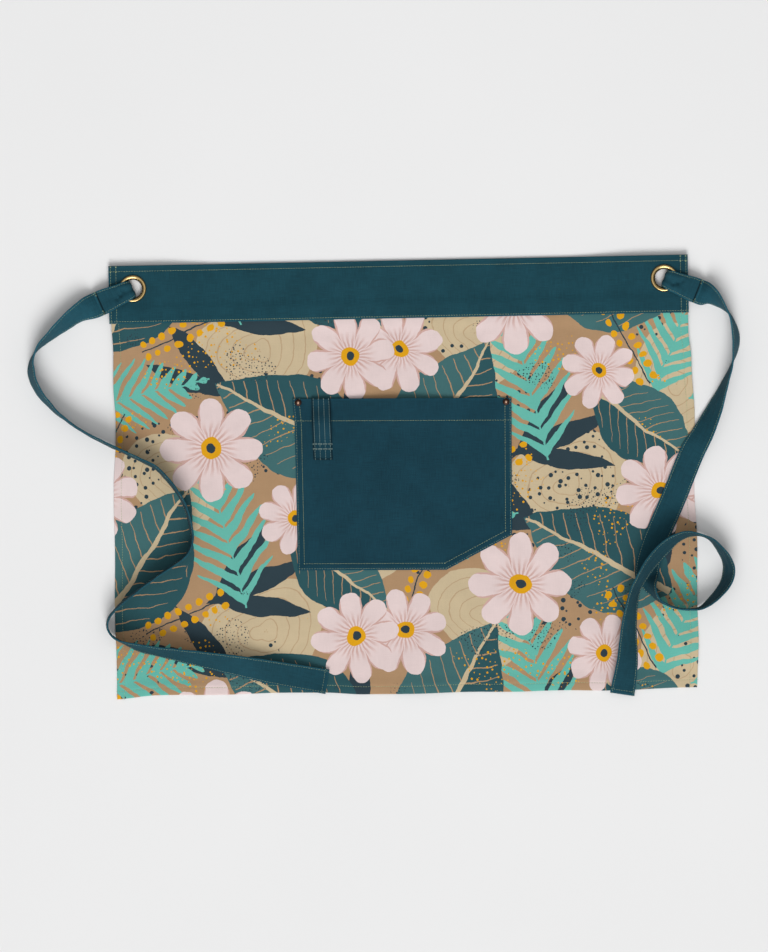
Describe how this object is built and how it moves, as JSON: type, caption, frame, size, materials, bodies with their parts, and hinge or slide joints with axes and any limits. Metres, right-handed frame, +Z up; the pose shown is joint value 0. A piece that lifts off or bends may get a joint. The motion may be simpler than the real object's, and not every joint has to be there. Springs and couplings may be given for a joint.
{
  "type": "waist apron",
  "caption": "Short waist apron laid flat: printed cotton panel, folded canvas waistband, ties through brass eyelets, and a bevelled patch pocket with a towel loop.",
  "frame": {"origin": "under the middle of the lying apron, on the surface that it lies on", "axes": "+X along the waistband to the right as worn side up, +Y towards the waistband, +Z up through the front of the cloth"},
  "size_m": [0.8621, 0.5321, 0.041],
  "materials": {
    "printed_cotton": "plain-weave cotton with a botanical print on a tan ground",
    "band_canvas": "deep teal cotton canvas, matt",
    "pocket_canvas": "deep teal cotton canvas with olive topstitching",
    "tie_cotton": "folded deep teal cotton tape",
    "eyelet_brass": "polished, slightly worn",
    "rivet_copper": "antiqued dark copper with a brighter nub"
  },
  "bodies": {
    "root": {"apron_panel": "printed_cotton", "waistband": "band_canvas", "pocket": "pocket_canvas", "towel_loop": "pocket_canvas", "rivet_left": "rivet_copper", "rivet_right": "rivet_copper", "eyelet_left": "eyelet_brass", "eyelet_right": "eyelet_brass", "strap_left": "tie_cotton", "strap_right": "tie_cotton"}
  },
  "joints": []
}
